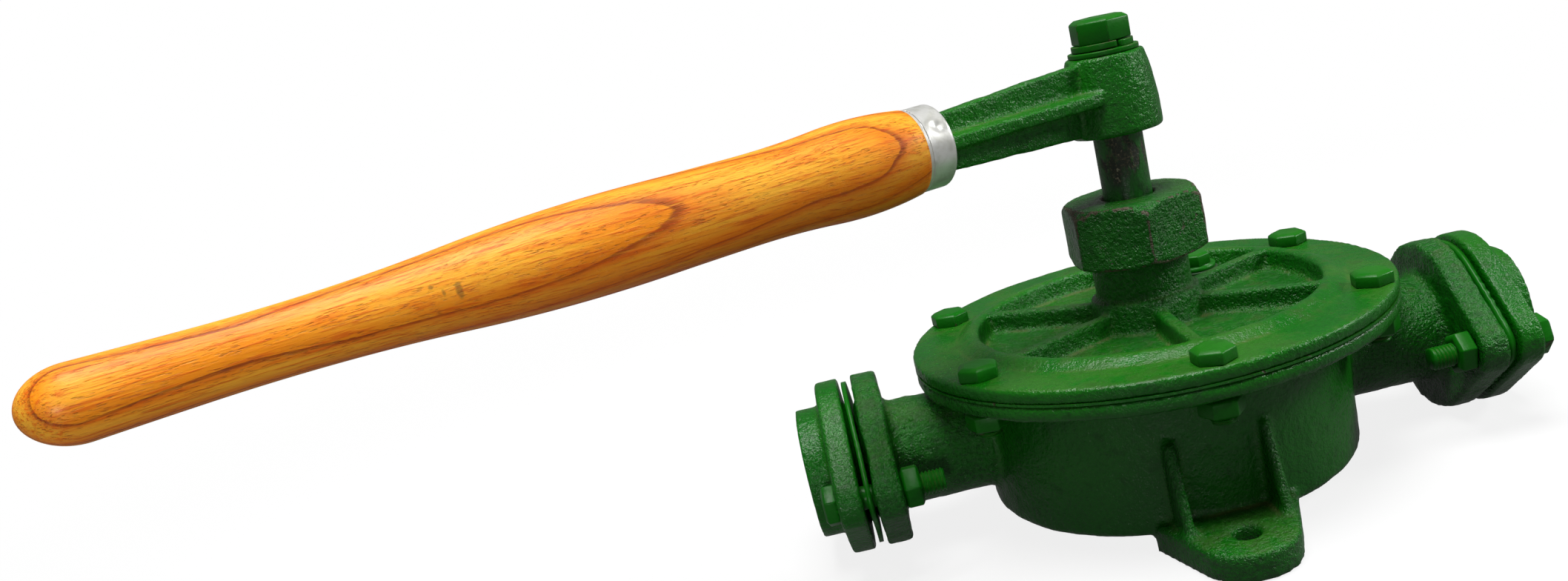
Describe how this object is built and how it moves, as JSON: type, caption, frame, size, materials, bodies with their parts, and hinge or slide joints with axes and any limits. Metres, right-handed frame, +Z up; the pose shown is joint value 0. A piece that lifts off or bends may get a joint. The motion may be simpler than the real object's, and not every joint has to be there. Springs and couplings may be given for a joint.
{
  "type": "hand water pump",
  "caption": "Semi-rotary hand water pump in green cast iron, lying on its feet, with two flanged ports, a ribbed cover, a gland nut and a swinging lever with a turned wooden handle.",
  "frame": {"origin": "on the shaft's axis, at the soles of the two feet", "axes": "+Z up the shaft, X along the two ports, Y along the two feet"},
  "size_m": [0.4131, 0.2535, 0.1643],
  "materials": {
    "green_paint": "brushed gloss paint on rough castings, chipped at a few edges",
    "worn_steel": "painted steel, scraped and stained near its top",
    "bare_steel": "plain steel",
    "ferrule_tin": "bright pressed metal",
    "handle_wood": "varnished, dark grain lines",
    "gasket_card": "thin card gasket, painted over at its edge",
    "packing_cord": "greased packing cord"
  },
  "bodies": {
    "pump": {"body": "green_paint", "cover": "green_paint", "cover_bolt_1": "green_paint", "cover_bolt_2": "green_paint", "cover_bolt_3": "green_paint", "cover_bolt_4": "green_paint", "cover_bolt_5": "green_paint", "cover_bolt_6": "green_paint", "cover_gasket": "gasket_card", "cover_nut_1": "green_paint", "cover_nut_2": "green_paint", "cover_nut_3": "green_paint", "cover_nut_4": "green_paint", "cover_nut_5": "green_paint", "cover_nut_6": "green_paint", "gland_follower": "green_paint", "gland_nut": "green_paint", "inlet_flange": "green_paint", "inlet_gasket": "gasket_card", "outlet_flange": "green_paint", "outlet_gasket": "gasket_card", "packing": "packing_cord", "plug_washer": "green_paint", "port_bolt_1": "green_paint", "port_bolt_2": "green_paint", "port_bolt_3": "green_paint", "port_bolt_4": "green_paint", "port_nut_1": "green_paint", "port_nut_2": "green_paint", "port_nut_3": "green_paint", "port_nut_4": "green_paint", "priming_plug": "green_paint"},
    "lever": {"ferrule": "ferrule_tin", "handle": "handle_wood", "lever": "green_paint", "lever_bolt": "green_paint", "lever_key": "bare_steel", "lever_spring_washer": "green_paint", "lever_washer": "green_paint", "shaft": "worn_steel"}
  },
  "joints": [
    {"name": "lever_swing", "type": "hinge", "parent": "pump", "child": "lever", "pos_m": [0, 0, 0.08], "axis": [0, 0, 1], "range_deg": [-73, 17]}
  ]
}
